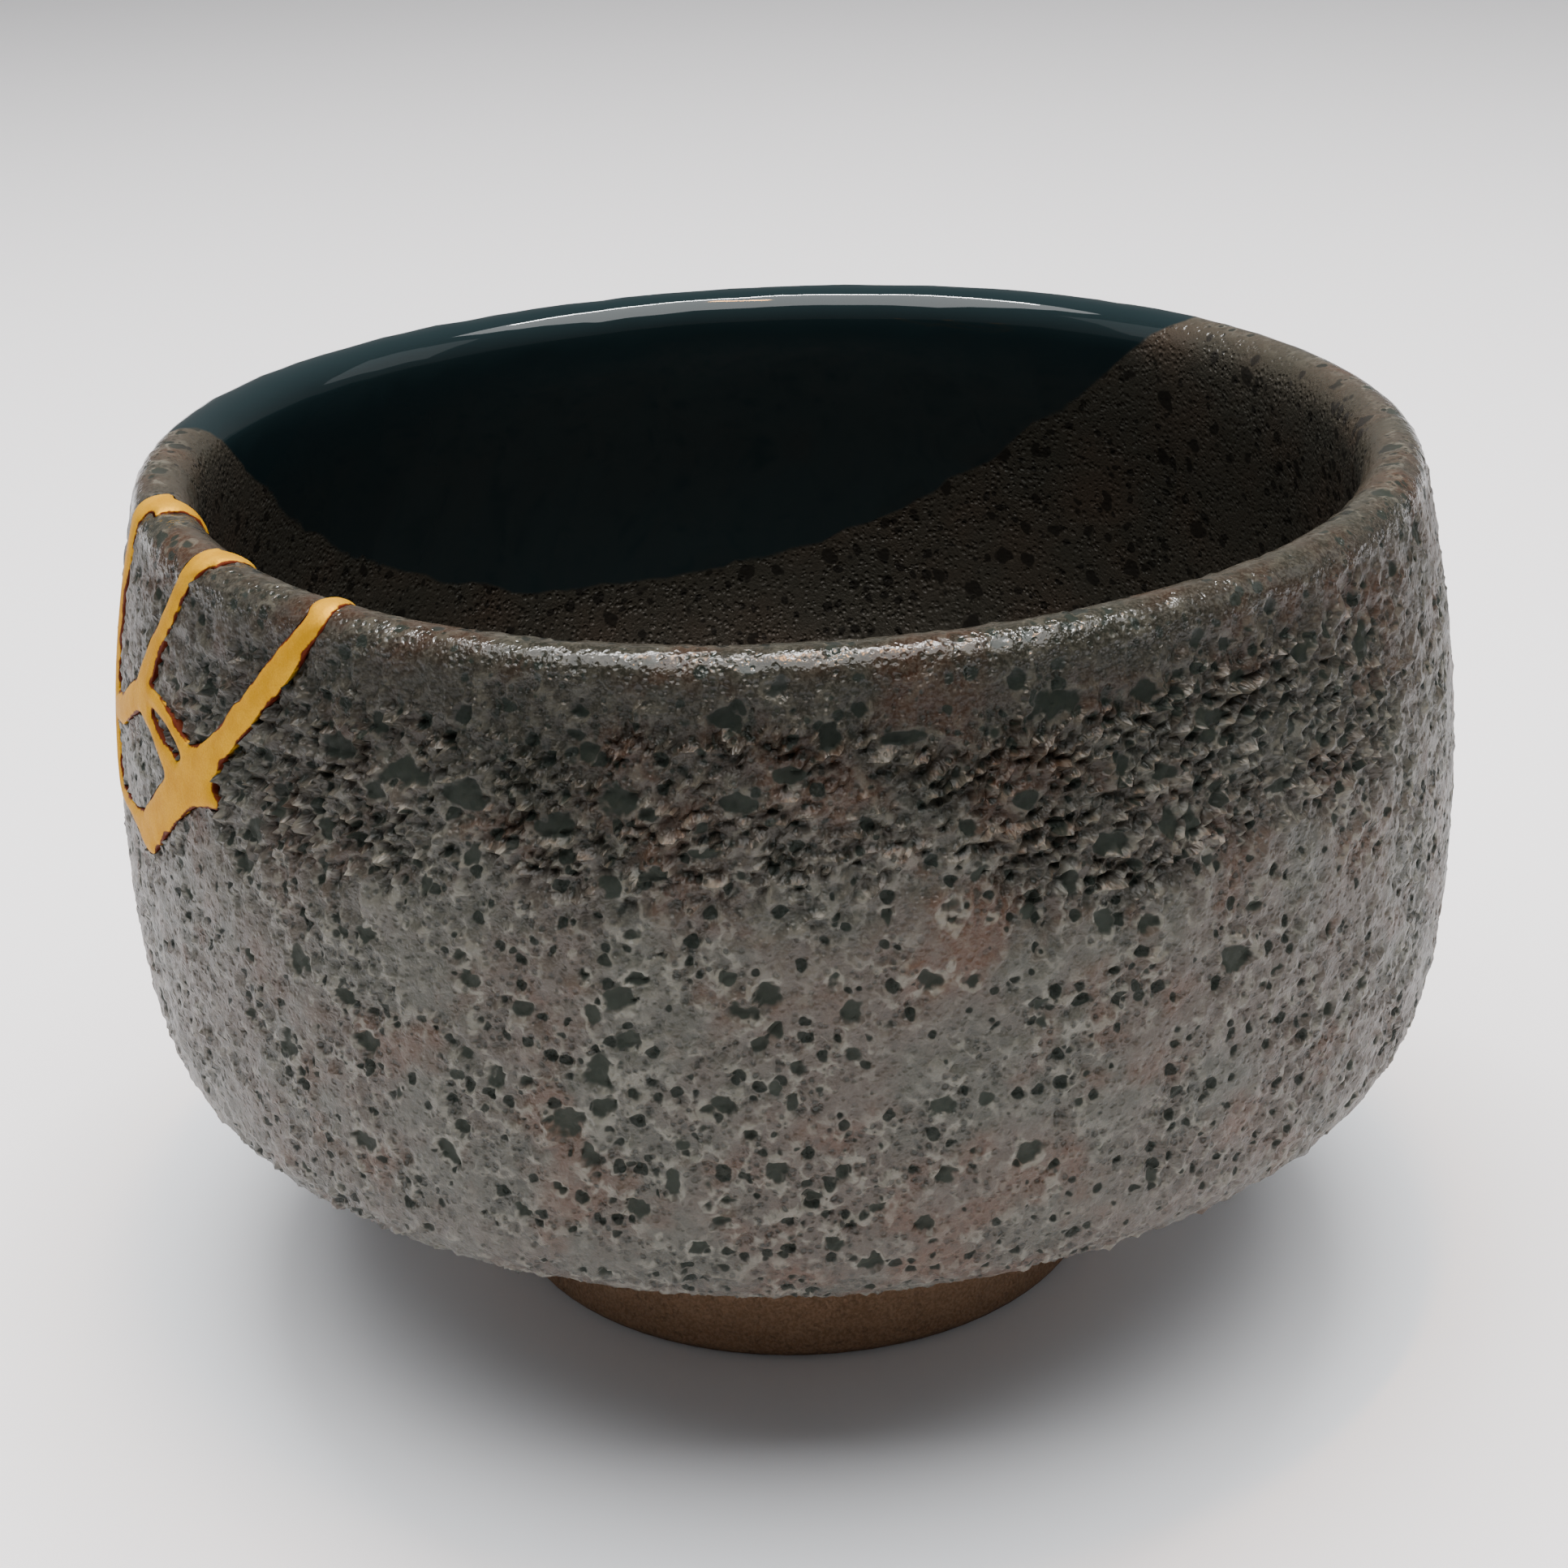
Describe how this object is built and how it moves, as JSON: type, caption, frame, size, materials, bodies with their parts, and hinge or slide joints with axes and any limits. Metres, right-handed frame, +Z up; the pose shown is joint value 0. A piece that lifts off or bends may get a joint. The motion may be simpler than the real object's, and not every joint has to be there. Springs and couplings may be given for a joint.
{
  "type": "kintsugi bowl",
  "caption": "Round-bellied stoneware tea bowl on a bare foot ring, pitted dark glaze with a dipped black gloss patch, its broken rim mended with raised gold seams.",
  "frame": {"origin": "centre of the foot ring's underside, on the ground", "axes": "+Z up along the bowl's axis; -Y faces the viewer, with the gold seams to the left and front of -X"},
  "size_m": [0.122, 0.122, 0.0799],
  "materials": {
    "pitted_glaze": "satin, pitted, dark grey-brown iron glaze; gloss black where dipped; bare clay foot",
    "gold_lacquer": "satin gold powder on red lacquer"
  },
  "bodies": {
    "root": {"bowl_body": "pitted_glaze", "rim_sherd_left": "pitted_glaze", "rim_sherd_right": "pitted_glaze", "wall_sherd": "pitted_glaze", "chip": "pitted_glaze", "gold_seams": "gold_lacquer"}
  },
  "joints": []
}
